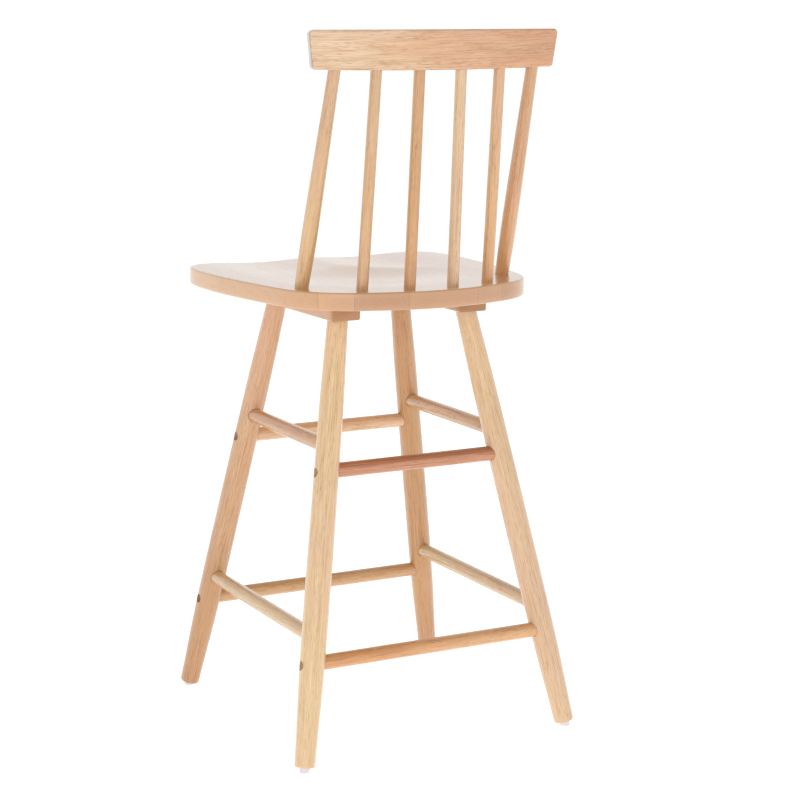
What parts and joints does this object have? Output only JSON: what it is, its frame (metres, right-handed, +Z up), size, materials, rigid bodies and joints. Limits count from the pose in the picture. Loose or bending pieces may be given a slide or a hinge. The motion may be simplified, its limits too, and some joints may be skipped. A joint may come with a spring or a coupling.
{
  "type": "bar stool",
  "caption": "Counter-height wooden stool: dished seat, splayed turned legs, two tiers of round stretchers with a footrest, spindle back and bowed crest rail.",
  "frame": {"origin": "on the floor, at the centre of the bounding box", "axes": "+Z up, the front of the stool faces -Y, the sitter's left is +X"},
  "size_m": [0.44, 0.4525, 0.9915],
  "materials": {
    "wood_pale": "clear satin lacquer",
    "wood_tan": "clear satin lacquer",
    "wood_red": "clear satin lacquer",
    "steel": "zinc plated",
    "brass": "turned",
    "glide_plastic": "moulded"
  },
  "bodies": {
    "root": {"batten_left": "wood_tan", "batten_right": "wood_tan", "bolt_lower_front_left": "steel", "bolt_lower_front_right": "steel", "bolt_lower_rear_left": "steel", "bolt_lower_rear_right": "steel", "bolt_upper_front_left": "steel", "bolt_upper_front_right": "steel", "bolt_upper_rear_left": "steel", "bolt_upper_rear_right": "steel", "crest_rail": "wood_pale", "glide_front_left": "glide_plastic", "glide_front_right": "glide_plastic", "glide_nail_front_left": "steel", "glide_nail_front_right": "steel", "glide_nail_rear_left": "steel", "glide_nail_rear_right": "steel", "glide_rear_left": "glide_plastic", "glide_rear_right": "glide_plastic", "insert_lower_front_left": "brass", "insert_lower_front_right": "brass", "insert_lower_rear_left": "brass", "insert_lower_rear_right": "brass", "insert_upper_front_left": "brass", "insert_upper_front_right": "brass", "insert_upper_rear_left": "brass", "insert_upper_rear_right": "brass", "leg_front_left": "wood_tan", "leg_front_right": "wood_tan", "leg_rear_left": "wood_pale", "leg_rear_right": "wood_pale", "post_left": "wood_tan", "post_right": "wood_tan", "seat": "wood_pale", "seat_bolt_front_left": "steel", "seat_bolt_front_right": "steel", "seat_bolt_rear_left": "steel", "seat_bolt_rear_right": "steel", "seat_insert_front_left": "brass", "seat_insert_front_right": "brass", "seat_insert_rear_left": "brass", "seat_insert_rear_right": "brass", "spindle_1": "wood_tan", "spindle_2": "wood_tan", "spindle_3": "wood_tan", "spindle_4": "wood_tan", "stretcher_lower_front": "wood_tan", "stretcher_lower_left": "wood_pale", "stretcher_lower_rear": "wood_tan", "stretcher_lower_right": "wood_pale", "stretcher_upper_front": "wood_tan", "stretcher_upper_left": "wood_pale", "stretcher_upper_rear": "wood_red", "stretcher_upper_right": "wood_pale"}
  },
  "joints": []
}
